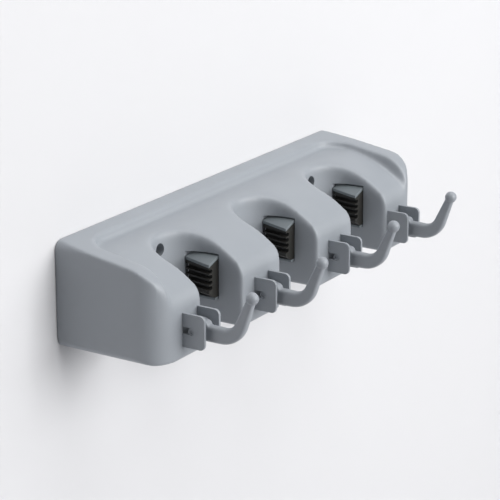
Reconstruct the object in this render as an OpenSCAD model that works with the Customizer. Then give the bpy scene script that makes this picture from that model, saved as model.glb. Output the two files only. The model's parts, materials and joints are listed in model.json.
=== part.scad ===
// Wall mop holder rack: a moulded shell with three handle slots, each gripped by a pair of
// sprung cam jaws with ribbed rubber pads, and four fold-up hooks between ears on the lobe fronts.
// Frame: X along the wall, Y into the wall, Z up. The origin is on the wall, midway between the two screws.

/* [Body] */
// Distance between neighbouring handle slots
slot_pitch = 80; // [74:1:100]
// Width of a handle slot
slot_w = 40; // [37:1:44]
// Depth of a handle slot behind the lobe fronts
slot_depth = 41; // [38:1:44]
// Width of the lobe outside each end slot
end_lobe_w = 40; // [36:1:60]
// Height of the body
body_h = 60; // [57:1:80]
// Depth of the body, from the wall to the lobe fronts
body_d = 66; // [62:1:80]
// Wall thickness of the moulded shell
wall_t = 2.5; // [2:0.1:3]
// Radius of the upright front corners at the two ends
end_r = 16; // [10:1:20]
// Radius of the body's four corners, seen from the front
outline_r = 5.5; // [4:0.5:9]
// Radius of the upright lobe corners beside a slot
lobe_r = 4; // [3:0.5:6]

/* [Top] */
// Fall of the border's top towards the front, in degrees
top_fall = 8.6; // [4:0.2:12]
// Radius of the end cheeks where the top turns into the front
brow_r = 22; // [14:1:26]
// Width of the raised border along the wall
border_w = 12; // [6:0.5:14]
// Width of the raised cheek at each end
cheek_w = 14; // [8:0.5:18]
// Depth of the sunk deck below the border, at its back edge
deck_drop = 4.4; // [3:0.2:6]
// Radius of the deck's gentle crown
crown_r = 84; // [76:2:180]
// Radius of the deck where it turns down into the lobe fronts
nose_r = 14.5; // [13:0.5:20]
// Depth of that turn's centre below the top of the body
nose_drop = 33.2; // [33:0.1:36]
// Radius of the deck's two back corners, seen from above
deck_corner_r = 9; // [4:0.5:12]

/* [Wall screws] */
// Depth of the screw holes below the top of the body
screw_drop = 17; // [16:0.5:22]
// Diameter of the screw's clearance hole
screw_d = 4.5; // [3.5:0.1:5]
// Diameter of the tube that lets the screw's head in
head_d = 7.8; // [7:0.1:9]
// Thickness of the seat under the screw's head
seat_t = 4; // [3:0.5:6]
// Wall thickness of the screw tube
tube_t = 2.1; // [1.6:0.1:3]

/* [Hooks] */
// Distance of an end hook from the end of the body
end_hook_in = 29.4; // [24:0.2:32]
// Projection of the ears in front of the lobes
ear_l = 13.9; // [12:0.1:18]
// Height of the ears
ear_h = 19; // [16:0.5:21]
// Thickness of an ear
ear_t = 1.8; // [1.4:0.1:3]
// Radius of an ear's front corners
ear_r = 3; // [1.5:0.5:5]
// Depth of the ears' middle below the top of the body
ear_drop = 43.5; // [42:0.5:46]
// Width of a hook's root between its ears
root_w = 11.6; // [10:0.1:13]
// Diameter of a hook's trunnions
trunnion_d = 4; // [3:0.1:5]
// Distance of the trunnions in front of the lobe
trunnion_out = 5.4; // [5:0.1:7]
// Radius of the hub round the trunnions
hub_r = 4.6; // [3.5:0.1:4.8]
// Depth of the root's heel below the trunnions
heel_h = 6; // [5:0.1:8]
// Length of the root's heel in front of the trunnions
heel_l = 3.9; // [2:0.1:4.4]
// Depth of the arm at its root
arm_d = 9.2; // [7:0.2:9.6]
// Width of the arm between its two flat sides
arm_w = 6; // [5:0.2:8]
// Depth of the arm in its bend
bend_d = 8; // [5:0.2:8.6]
// Diameter of the arm below its ball
neck_d = 4.8; // [3.6:0.2:6]
// Diameter of the ball at the arm's end
ball_d = 7; // [6.4:0.2:10]
// Depth of the arm's axis below the trunnions
arm_low = 1.6; // [1:0.1:3]
// Length of the arm's level run from the trunnions to the bend
arm_run = 15.5; // [12:0.5:24]
// Radius of the bend along the arm's axis
bend_r = 12; // [8:0.5:14]
// Angle of the bend, in degrees
bend_a = 68; // [50:1:85]
// Length of the straight rise from the bend to the ball
rise_l = 17.5; // [12:0.5:26]
// Width of the lift nub on the arm
nub_w = 5.4; // [4:0.2:8]
// Radius of the lift nub
nub_r = 2.7; // [2.6:0.1:3.2]
// Distance of the nub's middle in front of the trunnions
nub_out = 4.7; // [4.2:0.1:7]
// Height of the nub's middle above the trunnions
nub_up = 3.2; // [2.6:0.1:4]

/* [Jaws] */
// Width of a jaw, along the depth of the body
jaw_w = 18; // [13:0.5:18.5]
// Distance of the jaws' middle from the lobe fronts
jaw_in = 25; // [23:0.5:26]
// Reach of a jaw's tip into its slot
jaw_reach = 9; // [6:0.1:9.5]
// Swing of the jaw's nose away from straight, in degrees, so that a pair closes towards the front
nose_skew = 11.6; // [6:0.2:14]
// Depth of the jaws' tips below the top of the body
tip_drop = 24.4; // [24:0.2:27]
// Slope of the jaw's top plate in front of the slot's wall, in degrees
plate_slope = 18.4; // [6:0.2:19]
// Thickness of the jaw's top plate
plate_t = 1.8; // [1.6:0.1:3]
// Thickness of the jaw's bottom lip
lip_t = 1.5; // [1.2:0.1:2]
// Thickness of the jaw's upright web
web_t = 3; // [2.4:0.1:3.6]
// Radius of the knuckles on the pivot pin
knuckle_r = 3; // [2.6:0.1:3.4]
// Diameter of the pivot pin
pin_d = 3; // [2.4:0.1:3.6]
// Height of the pivots above the bottom of the body
pivot_rise = 13; // [12:0.5:14]
// Height of the window above the jaw's tip at rest
window_rise = 4; // [3.4:0.1:4.4]
// Number of grooves between the ribs of a rubber pad
groove_count = 4; // [2:1:4]
// Height of the sloping chin under a rubber pad's ribs
chin_h = 3.5; // [2:0.1:5]
// Distance between neighbouring pad ribs
rib_pitch = 3.2; // [2.4:0.1:3.3]
// Depth of the grooves between the pad ribs
groove_depth = 1.3; // [0.8:0.1:1.6]
// Diameter of the spring wire
wire_d = 0.9; // [0.6:0.05:1]
// Number of whole turns in a spring coil
coil_turns = 5; // [3:1:5]
// Distance between neighbouring turns of a spring
coil_pitch = 1.36; // [1.3:0.02:1.5]
// Length of the spring's leg on the jaw
web_leg = 11; // [6:0.5:14]
// Length of the spring's foot on the shell's wall
wall_foot = 5; // [3:0.5:6]
// Thickness of the two ribs that carry a pivot pin
pin_rib_t = 2.5; // [2:0.1:4]

/* [Clearances] */
// Running clearance of a pin or trunnion, on the radius
run_gap = 0.05; // [0.03:0.01:0.1]
// Gap between faces that meet at a stop
stop_gap = 0.3; // [0.2:0.05:0.5]
// Gap beside a jaw in its window, and round a spring coil
side_gap = 0.5; // [0.3:0.1:0.8]

/* [Hidden] */
$fn = 96;
over = 1;
far = 400;
// Share of a trunnion's diameter that its snap-in slot leaves open
SNAP_SHARE = 0.85;

SLOTS = [-1, 0, 1];
slot_x = [for (s = SLOTS) s * slot_pitch];
body_w = 2 * (slot_pitch + end_lobe_w) + slot_w;
top_z = screw_drop;
low_z = top_z - body_h;
mid_z = (top_z + low_z) / 2;
front_y = -body_d;

// The deck: a crown arc through its back edge, tangent inside to the nose arc
deck_back = [-border_w, top_z - border_w * tan(top_fall) - deck_drop];
nose_c = [front_y + nose_r, top_z - nose_drop];
crown_c = circles_meet(deck_back, crown_r, nose_c, crown_r - nose_r);
nose_up = (nose_c - crown_c) / norm(nose_c - crown_c);
brow_c = [front_y + brow_r, top_z + (front_y + brow_r) * tan(top_fall) - brow_r / cos(top_fall)];
slot_c = front_y + slot_depth - slot_w / 2;

// The wall screws
tube_r = head_d / 2 + tube_t;

// The hooks
hook_x = [-body_w / 2 + end_hook_in, -slot_pitch / 2, slot_pitch / 2, body_w / 2 - end_hook_in];
ear_z = top_z - ear_drop;
trunnion_y = front_y - trunnion_out;
ear_gap = root_w + 2 * stop_gap;
bend_start = trunnion_y - arm_run;
arm_z = ear_z - arm_low;
keyhole_h = trunnion_d * SNAP_SHARE;
// The arm's two tapers end inside its bend, a little thinner than it
lap = 1;
lap_step = 0.2;

// The jaws, drawn for the right wall of a slot at x = 0
wall_x = slot_w / 2;
pivot_x = wall_x + wall_t + knuckle_r + stop_gap;
pivot_z = low_z + pivot_rise;
jaw_y = front_y + jaw_in;
jaw_front = jaw_y - jaw_w / 2;
jaw_back = jaw_y + jaw_w / 2;
tip = [wall_x - jaw_reach, top_z - tip_drop];
window_top = tip[1] + window_rise;
lip_low = pivot_z + knuckle_r / 4;
window_low = lip_low - stop_gap;
web_left = pivot_x - web_t / 2;
web_right = pivot_x + web_t / 2;
plate_level = tip[1] + jaw_reach * tan(plate_slope);
pad_top = tip[1] - plate_t;
nose_x = tip[0] + groove_depth / 3;
first_groove = 0.7 * rib_pitch;
nose_low = lip_low + lip_t + chin_h;
lip_x = wall_x - jaw_reach / 3;
window_front = jaw_front - side_gap;
window_back = jaw_back + side_gap;
coil_r = pin_d / 2 + side_gap + wire_d;
coil_l = (coil_turns + 1 / 4) * coil_pitch + wire_d;

// The spring's path round its pin: leg, coil and foot, each point with its outward direction
CURL_STEPS = 8;
WIRE_SIDES = 6;
wire_path_r = coil_r - wire_d / 2;
coil_start = jaw_y - coil_l / 2 + wire_d / 2;
coil_end = jaw_y + coil_l / 2 - wire_d / 2;
foot_x = -knuckle_r + wire_d / 2;
curl_count = coil_turns * CURL_STEPS + CURL_STEPS / 4;
coil_path = [for (i = [0 : curl_count])
    let (a = -360 * i / CURL_STEPS, out = [cos(a), 0, sin(a)])
    [wire_path_r * out + [0, coil_start + i * coil_pitch / CURL_STEPS, 0], out]];
spring_path = concat(
    [[[wire_path_r, coil_start, web_leg], [1, 0, 0]]],
    coil_path,
    [[[foot_x, coil_end, -wire_path_r], [1, 0, -1]]],
    [[[foot_x, coil_end, -wire_path_r - wall_foot], [1, 0, 0]]]
);
echo("Least gap between turns of a spring, mm", least_gap([for (p = coil_path) p[0]]) - wire_d);

// The lower of the two points at distance ra from a and rb from b
function circles_meet(a, ra, b, rb) =
    let (
        d = norm(b - a),
        along = (ra * ra - rb * rb + d * d) / (2 * d),
        aside = sqrt(ra * ra - along * along),
        u = (b - a) / d,
        n = u[0] < 0 ? [-u[1], u[0]] : [u[1], -u[0]]
    )
    a + along * u + aside * n;

// The least distance between points of a coil that lie half a turn or more apart
function least_gap(points) =
    min([for (i = [0 : len(points) - 1])
        for (j = [i + 1 : 1 : len(points) - 1])
            if (j - i >= CURL_STEPS / 2)
                norm(points[i] - points[j])]);

// Stand a flat shape, drawn as [depth, height], across the width of the body
module across(w) {
    rotate([90, 0, 90])
        translate([0, 0, -w / 2])
            linear_extrude(w)
                children();
}

// A round bar along the depth of the body
module bar_y(y0, y1, r) {
    translate([0, y1, 0])
        rotate([90, 0, 0])
            cylinder(h = y1 - y0, r = r);
}

// A round bar across the body, centred on the middle
module bar_x(w, r) {
    rotate([0, 90, 0])
        cylinder(h = w, r = r, center = true);
}

// Side outline of the border and cheeks, drawn in by a margin: the hollow's outline runs out past the wall
module side_2d(margin) {
    back_y = margin > 0 ? over : 0;
    line_z = top_z - margin / cos(top_fall);
    turn = brow_c + (brow_r - margin) * [-sin(top_fall), cos(top_fall)];
    polygon([
        [back_y, low_z + margin],
        [front_y + margin, low_z + margin],
        [front_y + margin, brow_c[1]],
        brow_c,
        turn,
        [back_y, line_z + back_y * tan(top_fall)]
    ]);
    translate(brow_c)
        circle(r = brow_r - margin);
}

// Plan of the body without its slots, drawn in by a margin
module plan_2d(margin) {
    half = body_w / 2 - margin;
    r = end_r - margin;
    translate([-half, front_y + end_r])
        square([2 * half, body_d - end_r + over]);
    translate([-half + r, front_y + margin])
        square([2 * (half - r), end_r]);
    for (side = [-1, 1])
        translate([side * (half - r), front_y + end_r])
            circle(r = r);
}

// Front outline of the body, drawn in by a margin
module outline_2d(margin) {
    r = outline_r - margin;
    w = body_w / 2 - outline_r;
    h = body_h / 2 - outline_r;
    translate([0, mid_z]) {
        square([2 * (w + r), 2 * h], center = true);
        square([2 * w, 2 * (h + r)], center = true);
        for (x = [-w, w], z = [-h, h])
            translate([x, z])
                circle(r = r);
    }
}

// The block that the shell is moulded to, drawn in by a margin
module block(margin) {
    intersection() {
        across(body_w + over) side_2d(margin);
        translate([0, 0, -body_h])
            linear_extrude(2 * body_h)
                plan_2d(margin);
        translate([0, 2 * over, 0])
            rotate([90, 0, 0])
                linear_extrude(body_d + 3 * over)
                    outline_2d(margin);
    }
}

// Side outline of all that lies under the deck, drawn in by a margin
module under_deck_2d(margin) {
    intersection() {
        translate(crown_c)
            circle(r = crown_r - margin, $fn = 360);
        polygon([nose_c, nose_c + far * nose_up, [far, far], [far, -body_h], [nose_c[0], -body_h]]);
    }
    translate(nose_c)
        circle(r = nose_r - margin);
    translate([front_y + margin, -body_h])
        square([nose_r, body_h + nose_c[1]]);
}

// The space above the deck, between the border and the two cheeks, grown by a margin
module deck_space(margin) {
    half = body_w / 2 - cheek_w + margin;
    back = -border_w + margin;
    r = deck_corner_r + margin;
    difference() {
        translate([0, 0, nose_c[1]])
            linear_extrude(body_h) {
                translate([-half, front_y - over])
                    square([2 * half, body_d + over + back - r]);
                translate([-half + r, front_y - over])
                    square([2 * (half - r), body_d + over + back]);
                for (side = [-1, 1])
                    translate([side * (half - r), back - r])
                        circle(r = r);
            }
        across(body_w + 2 * over) under_deck_2d(margin);
    }
}

// Plan of one handle slot, grown by a margin
module slot_2d(margin) {
    half = slot_w / 2 + margin;
    translate([0, slot_c])
        circle(r = half);
    translate([-half, front_y - over])
        square([2 * half, slot_c - front_y + over]);
}

// Rounding of the two lobe corners beside a slot
module lobe_corners_2d() {
    for (side = [0, 1])
        mirror([side, 0])
            difference() {
                translate([slot_w / 2 - over, front_y - over])
                    square([lobe_r + over, lobe_r + over]);
                translate([slot_w / 2 + lobe_r, front_y + lobe_r])
                    circle(r = lobe_r);
            }
}

// The three slots as upright cuts, grown by a margin
module slots(margin) {
    for (x = slot_x)
        translate([x, 0, -body_h])
            linear_extrude(2 * body_h) {
                slot_2d(margin);
                if (margin == 0)
                    lobe_corners_2d();
            }
}

// Place a shape drawn for the right wall of a slot at x = 0 on each wall of each slot
module at_each_jaw() {
    for (x = slot_x, side = [0, 1])
        translate([x, 0, 0])
            mirror([side, 0, 0])
                children();
}

// The two upright ribs that carry a jaw's pin
module pin_ribs() {
    for (y = [window_front - pin_rib_t, window_back])
        translate([0, y, low_z])
            cube([pivot_x + pin_d + wall_t, pin_rib_t, pivot_z - low_z + pin_d + wall_t]);
}

// A screw tube behind a slot
module screw_tube() {
    bar_y(slot_c, over, tube_r);
}

// The cut for one wall screw, with its head's way in from the slot
module screw_cut() {
    bar_y(-body_d, over, screw_d / 2);
    bar_y(-body_d, -seat_t, head_d / 2);
}

// The hollow of the shell, open to the wall
module hollow() {
    difference() {
        block(wall_t);
        deck_space(wall_t);
        slots(wall_t);
        at_each_jaw() pin_ribs();
        for (x = [slot_x[0], slot_x[2]])
            translate([x, 0, 0])
                screw_tube();
    }
}

// Side outline of an ear, with its two front corners rounded
module ear_2d() {
    tip_y = front_y - ear_l;
    translate([tip_y + ear_r, ear_z - ear_h / 2])
        square([ear_l - ear_r + wall_t / 2, ear_h]);
    translate([tip_y, ear_z - ear_h / 2 + ear_r])
        square([ear_l, ear_h - 2 * ear_r]);
    for (side = [-1, 1])
        translate([tip_y + ear_r, ear_z + side * (ear_h / 2 - ear_r)])
            circle(r = ear_r);
}

// A pair of ears with the keyhole that a hook's trunnions snap into
module ears() {
    difference() {
        for (side = [-1, 1])
            translate([side * (ear_gap + ear_t) / 2, 0, 0])
                across(ear_t) ear_2d();
        translate([0, trunnion_y, ear_z])
            bar_x(ear_gap + 3 * ear_t, trunnion_d / 2 + run_gap);
        translate([-ear_gap, trunnion_y, ear_z - keyhole_h / 2])
            cube([2 * ear_gap, trunnion_out, keyhole_h]);
    }
}

// One moulded shell, with its ears, pin ribs and screw tubes
module rack_shell() {
    color("#A9B0B9") {
        difference() {
            block(0);
            deck_space(0);
            slots(0);
            hollow();
            at_each_jaw()
                translate([0, window_front, window_low])
                    cube([pivot_x, window_back - window_front, window_top - window_low]);
            at_each_jaw()
                translate([pivot_x, 0, pivot_z])
                    bar_y(window_front - pin_rib_t - over, window_back + pin_rib_t + over, pin_d / 2);
            for (x = [slot_x[0], slot_x[2]])
                translate([x, 0, 0])
                    screw_cut();
        }
        for (x = hook_x)
            translate([x, 0, 0])
                ears();
    }
}

// Side outline of a hook's root round its trunnions: the hub, and the heel that stops on the lobe
module root_2d() {
    circle(r = hub_r);
    translate([-heel_l, -heel_h])
        square([heel_l + trunnion_out - stop_gap, heel_h]);
}

// A fold-up hook: root with trunnions and lift nub, then arm, bend, rise and ball
module hook(number) {
    rise = [0, -cos(bend_a), sin(bend_a)];
    rise_start = [0, bend_start - bend_r * sin(bend_a), arm_z + bend_r * (1 - cos(bend_a))];
    color("#A3A9B1")
        translate([hook_x[number - 1], 0, 0]) {
            translate([0, trunnion_y, ear_z]) {
                bar_x(root_w + 2 * ear_t, trunnion_d / 2);
                across(root_w) root_2d();
            }
            translate([0, trunnion_y - nub_out, ear_z + nub_up])
                bar_x(nub_w, nub_r);
            intersection() {
                union() {
                    translate([0, trunnion_y, arm_z])
                        rotate([90, 0, 0])
                            cylinder(h = arm_run + lap, d1 = arm_d, d2 = bend_d - lap_step);
                    translate([0, bend_start, arm_z + bend_r])
                        rotate([0, 90, 0])
                            rotate([0, 0, -bend_a])
                                rotate_extrude(angle = bend_a)
                                    translate([bend_r, 0])
                                        circle(d = bend_d);
                    translate(rise_start - lap * rise)
                        rotate([90 - bend_a, 0, 0])
                            cylinder(h = rise_l + lap, d1 = bend_d - lap_step, d2 = neck_d);
                }
                cube([arm_w, far, far], center = true);
            }
            translate(rise_start + rise_l * rise)
                sphere(d = ball_d);
        }
}

// Put a shape drawn for the right wall of a slot at x = 0 on one wall of one slot
module at_jaw(slot, side) {
    translate([slot_x[slot - 1], 0, 0])
        mirror([side == "left" ? 1 : 0, 0, 0])
            children();
}

// Extrude a jaw's section, drawn as [across, height], over the jaw's width
module jaw_section(y0, y1) {
    translate([0, y1, 0])
        rotate([90, 0, 0])
            linear_extrude(y1 - y0)
                children();
}

// The same, with the nose swung round its front end and trimmed to the jaw's width and to the web
module skewed_section() {
    intersection() {
        translate([tip[0], jaw_front, 0])
            rotate([0, 0, -nose_skew])
                translate([-tip[0], 0, 0])
                    jaw_section(-jaw_w, 2 * jaw_w)
                        children();
        translate([-far / 2, jaw_front, -body_h])
            cube([far / 2 + web_left, jaw_w, 2 * body_h]);
    }
}

// Section of all that lies under the top plate's upper or under face: a slope, then a level run to the web
module under_plate_2d(drop) {
    polygon([
        [tip[0], tip[1] - drop],
        [wall_x, plate_level - drop],
        [far / 4, plate_level - drop],
        [far / 4, -body_h],
        [tip[0], -body_h]
    ]);
}

// Section of the rubber pad, without its grooves and before the plate trims its top
module pad_2d() {
    polygon([
        [nose_x, plate_level],
        [far / 4, plate_level],
        [far / 4, lip_low + lip_t],
        [lip_x, lip_low + lip_t],
        [nose_x, nose_low]
    ]);
}

// The top plate, with its nose edge swung
module jaw_plate() {
    intersection() {
        jaw_section(jaw_front, jaw_back)
            difference() {
                under_plate_2d(0);
                under_plate_2d(plate_t);
            }
        skewed_section()
            translate([tip[0], -body_h])
                square([far / 4, 2 * body_h]);
    }
}

// The rigid half of a jaw: plate, web, lip and two knuckles round the spring
module jaw_carrier(slot, side) {
    color("#8C938F")
        at_jaw(slot, side)
            difference() {
                union() {
                    jaw_plate();
                    jaw_section(jaw_front, jaw_back)
                        translate([web_left, pivot_z])
                            square([web_t, plate_level - pivot_z]);
                    jaw_section(jaw_front, jaw_back)
                        translate([lip_x, lip_low])
                            square([pivot_x - lip_x, lip_t]);
                    translate([pivot_x, 0, pivot_z])
                        bar_y(jaw_front, jaw_back, knuckle_r);
                }
                translate([pivot_x, 0, pivot_z])
                    bar_y(jaw_front - over, jaw_back + over, pin_d / 2 + run_gap);
                translate([pivot_x, 0, pivot_z])
                    bar_y(jaw_y - coil_l / 2 - side_gap, jaw_y + coil_l / 2 + side_gap, coil_r + side_gap);
            }
}

// The rubber half of a jaw: a block with level ribs on its nose
module jaw_pad(slot, side) {
    color("#23221F")
        at_jaw(slot, side)
            difference() {
                intersection() {
                    skewed_section()
                        difference() {
                            pad_2d();
                            for (i = [0 : groove_count - 1])
                                translate([nose_x, pad_top - first_groove - i * rib_pitch])
                                    circle(r = groove_depth);
                        }
                    jaw_section(jaw_front, jaw_back)
                        under_plate_2d(plate_t);
                }
                translate([pivot_x, 0, pivot_z])
                    bar_y(jaw_front - over, jaw_back + over, coil_r + side_gap);
            }
}

// The steel pin that a jaw turns on, pressed into two ribs of the shell
module jaw_pin(slot, side) {
    color("#C9CBCC")
        at_jaw(slot, side)
            translate([pivot_x, 0, pivot_z])
                bar_y(window_front - pin_rib_t, window_back + pin_rib_t, pin_d / 2);
}

// A wire swept along points that each carry their outward direction
module wire(path) {
    last = len(path) - 1;
    points = [for (p = path, j = [0 : WIRE_SIDES - 1])
        let (a = 360 * j / WIRE_SIDES)
        p[0] + wire_d / 2 * (cos(a) * p[1] + sin(a) * [0, 1, 0])];
    sides = [for (i = [0 : last - 1], j = [0 : WIRE_SIDES - 1], half = [0, 1])
        let (
            a = i * WIRE_SIDES + j,
            b = i * WIRE_SIDES + (j + 1) % WIRE_SIDES
        )
        half == 0 ? [a, b, b + WIRE_SIDES] : [a, b + WIRE_SIDES, a + WIRE_SIDES]];
    ends = [for (j = [1 : WIRE_SIDES - 2], end = [0, last])
        end == 0 ? [0, j + 1, j] : end * WIRE_SIDES * [1, 1, 1] + [0, j, j + 1]];
    polyhedron(points, concat(sides, ends));
}

// The torsion spring on the pin: a leg on the jaw's web, a coil and a foot on the shell's wall
module jaw_spring(slot, side) {
    color("#B4B7B9")
        at_jaw(slot, side)
            translate([pivot_x, 0, pivot_z])
                wire(spring_path);
}

rack_shell();
hook(1);  // hook_1
hook(2);  // hook_2
hook(3);  // hook_3
hook(4);  // hook_4
jaw_carrier(1, "left");  // jaw_1_left_carrier
jaw_pad(1, "left");  // jaw_1_left_pad
jaw_pin(1, "left");  // jaw_1_left_pin
jaw_spring(1, "left");  // jaw_1_left_spring
jaw_carrier(1, "right");  // jaw_1_right_carrier
jaw_pad(1, "right");  // jaw_1_right_pad
jaw_pin(1, "right");  // jaw_1_right_pin
jaw_spring(1, "right");  // jaw_1_right_spring
jaw_carrier(2, "left");  // jaw_2_left_carrier
jaw_pad(2, "left");  // jaw_2_left_pad
jaw_pin(2, "left");  // jaw_2_left_pin
jaw_spring(2, "left");  // jaw_2_left_spring
jaw_carrier(2, "right");  // jaw_2_right_carrier
jaw_pad(2, "right");  // jaw_2_right_pad
jaw_pin(2, "right");  // jaw_2_right_pin
jaw_spring(2, "right");  // jaw_2_right_spring
jaw_carrier(3, "left");  // jaw_3_left_carrier
jaw_pad(3, "left");  // jaw_3_left_pad
jaw_pin(3, "left");  // jaw_3_left_pin
jaw_spring(3, "left");  // jaw_3_left_spring
jaw_carrier(3, "right");  // jaw_3_right_carrier
jaw_pad(3, "right");  // jaw_3_right_pad
jaw_pin(3, "right");  // jaw_3_right_pin
jaw_spring(3, "right");  // jaw_3_right_spring
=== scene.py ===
"""Looks of a wall mop holder rack, modelled around its packed construction.

The rack is one moulded shell with handle slots, fold-up hooks between ears on its front, and a pair of
sprung jaws in each slot. Lengths are in millimetres until a mesh is made, and in metres from there on.
"""

import json
import logging
import math
from contextlib import contextmanager
from dataclasses import dataclass, field
from enum import Enum
from typing import Callable, Iterable, Iterator, Sequence

import bmesh
import bpy
from mathutils import Matrix, Vector

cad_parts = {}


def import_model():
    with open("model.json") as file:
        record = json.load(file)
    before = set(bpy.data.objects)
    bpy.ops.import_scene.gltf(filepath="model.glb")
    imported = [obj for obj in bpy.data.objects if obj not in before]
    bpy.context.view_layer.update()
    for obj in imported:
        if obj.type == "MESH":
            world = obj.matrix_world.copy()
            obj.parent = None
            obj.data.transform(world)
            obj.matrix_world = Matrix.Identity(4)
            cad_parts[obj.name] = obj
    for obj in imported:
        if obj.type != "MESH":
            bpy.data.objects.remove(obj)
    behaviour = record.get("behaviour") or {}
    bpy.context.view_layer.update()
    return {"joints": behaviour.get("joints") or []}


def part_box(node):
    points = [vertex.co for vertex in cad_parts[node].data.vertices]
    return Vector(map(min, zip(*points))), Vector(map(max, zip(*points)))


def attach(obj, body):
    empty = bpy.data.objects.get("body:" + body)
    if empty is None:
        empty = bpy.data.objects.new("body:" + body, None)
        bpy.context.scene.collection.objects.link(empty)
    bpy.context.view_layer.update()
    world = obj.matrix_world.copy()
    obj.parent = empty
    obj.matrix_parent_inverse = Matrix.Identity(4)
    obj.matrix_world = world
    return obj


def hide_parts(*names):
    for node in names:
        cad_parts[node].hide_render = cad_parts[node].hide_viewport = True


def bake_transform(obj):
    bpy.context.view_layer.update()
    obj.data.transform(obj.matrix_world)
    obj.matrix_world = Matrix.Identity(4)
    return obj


LOG = logging.getLogger("rack")
MM = 0.001

# Edges sharper than the first are rounded, and edges sharper than the second stay crisp, in degrees
ROUNDED_EDGE = 40.0
CRISP_EDGE = 38.0
# Slack of the tests that pick edges and corners by their place, in millimetres
NEAR = 0.1
# An edge runs along an axis where its unit direction has at least this much of it
ALONG = 0.99
# Keeps two faces from meeting exactly, in millimetres
HAIR = 0.01
# Corners of a copy that are closer than this are one, in metres
SAME_PLACE = 1e-7
# Room that a window leaves at each end of its jaw, in millimetres
JAW_ROOM = 0.5

Object = bpy.types.Object
Material = bpy.types.Material
Node = bpy.types.ShaderNode
Point = Sequence[float]
Pair = tuple[float, float]
EdgeTest = Callable[[Vector, Vector], bool]
PlaceTest = Callable[[Vector], bool]


class Join(Enum):
    """How one solid acts on another."""

    UNION = "UNION"
    DIFFERENCE = "DIFFERENCE"
    INTERSECT = "INTERSECT"


class Side(Enum):
    """The wall of a slot that a jaw sits on, with its direction along X."""

    LEFT = -1
    RIGHT = 1


# Colour and nodes


def linear(hex_code: str) -> tuple[float, float, float, float]:
    """Turn an sRGB hex colour into linear light.

    Args:
        hex_code: Six hexadecimal digits after a hash sign.

    Returns:
        Linear red, green, blue and an alpha of one.
    """
    digits = hex_code.lstrip("#")
    shares = [int(digits[i:i + 2], 16) / 255 for i in (0, 2, 4)]
    red, green, blue = (c / 12.92 if c <= 0.04045 else ((c + 0.055) / 1.055) ** 2.4 for c in shares)
    return (red, green, blue, 1.0)


def add_node(tree: bpy.types.NodeTree, kind: str, inputs: dict | None = None, **settings: object) -> Node:
    """Add a node with its settings, values and links.

    Args:
        tree: The material's node tree.
        kind: The node's type name.
        inputs: Socket name or index to a value, or to an output socket that is linked to it.
        settings: The node's own properties.

    Returns:
        The new node.
    """
    node = tree.nodes.new(kind)
    for name, value in settings.items():
        setattr(node, name, value)
    for key, value in (inputs or {}).items():
        if isinstance(value, bpy.types.NodeSocket):
            tree.links.new(value, node.inputs[key])
        else:
            node.inputs[key].default_value = value
    return node


def per_metre(size_mm: float) -> float:
    """Return the texture scale whose pattern repeats about once in a size given in millimetres."""
    return 1.0 / (size_mm * MM)


# The modelling bench: each function is one or two operators, as they would be used by hand


def clear_selection() -> None:
    """Leave object mode's selection empty."""
    bpy.ops.object.select_all(action="DESELECT")


def pick(piece: Object) -> Object:
    """Make a piece the only selected and the active one.

    Args:
        piece: The piece.

    Returns:
        The same piece.
    """
    clear_selection()
    piece.select_set(True)
    bpy.context.view_layer.objects.active = piece
    return piece


@contextmanager
def editing(piece: Object, mode: str = "VERT", action: str = "SELECT") -> Iterator[None]:
    """Hold a piece in edit mode for the length of a with block.

    Args:
        piece: The piece.
        mode: What is selected there: corners, edges or faces.
        action: Whether all of it is selected first, or none.
    """
    pick(piece)
    bpy.ops.object.mode_set(mode="EDIT")
    bpy.ops.mesh.select_mode(type=mode)
    bpy.ops.mesh.select_all(action=action)
    yield
    bpy.ops.object.mode_set(mode="OBJECT")


def settle(name: str) -> Object:
    """Name the object that was just added and put its place into its mesh.

    Args:
        name: The new object's name.

    Returns:
        The object, at the origin, unturned and unscaled.
    """
    piece = bpy.context.object
    piece.name = name
    bpy.ops.object.transform_apply(location=True, rotation=True, scale=True)
    return piece


def add_box(name: str, low: Point, high: Point) -> Object:
    """Add a box between two corners.

    Args:
        name: The new object's name.
        low: Lowest corner, in millimetres.
        high: Highest corner, in millimetres.

    Returns:
        The box.
    """
    clear_selection()
    first, last = Vector(low) * MM, Vector(high) * MM
    bpy.ops.mesh.primitive_cube_add(size=1, location=(first + last) / 2, scale=last - first)
    return settle(name)


def add_drum(name: str, start: Point, end: Point, radius: float, sides: int = 48) -> Object:
    """Add a round bar between two points.

    Args:
        name: The new object's name.
        start: One end of its axis, in millimetres.
        end: The other end, in millimetres.
        radius: Its radius, in millimetres.
        sides: How many sides it has.

    Returns:
        The bar.
    """
    clear_selection()
    run = (Vector(end) - Vector(start)) * MM
    bpy.ops.mesh.primitive_cylinder_add(
        vertices=sides,
        radius=radius * MM,
        depth=run.length,
        location=(Vector(start) + Vector(end)) / 2 * MM,
        rotation=run.to_track_quat("Z", "Y").to_euler(),
    )
    return settle(name)


def add_prism(name: str, outline: Sequence[Point], run: Point) -> Object:
    """Draw a flat outline and extrude it.

    Args:
        name: The new object's name.
        outline: Its corners in space, in millimetres.
        run: How far and which way it is extruded, in millimetres.

    Returns:
        The prism, with its faces outwards.
    """
    mesh = bpy.data.meshes.new(name)
    mesh.from_pydata([Vector(p) * MM for p in outline], [], [range(len(outline))])
    piece = bpy.data.objects.new(name, mesh)
    bpy.context.scene.collection.objects.link(piece)
    with editing(piece, "FACE"):
        bpy.ops.mesh.extrude_region_move(TRANSFORM_OT_translate={"value": Vector(run) * MM})
        bpy.ops.mesh.select_all(action="SELECT")
        bpy.ops.mesh.normals_make_consistent(inside=False)
    return piece


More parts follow.
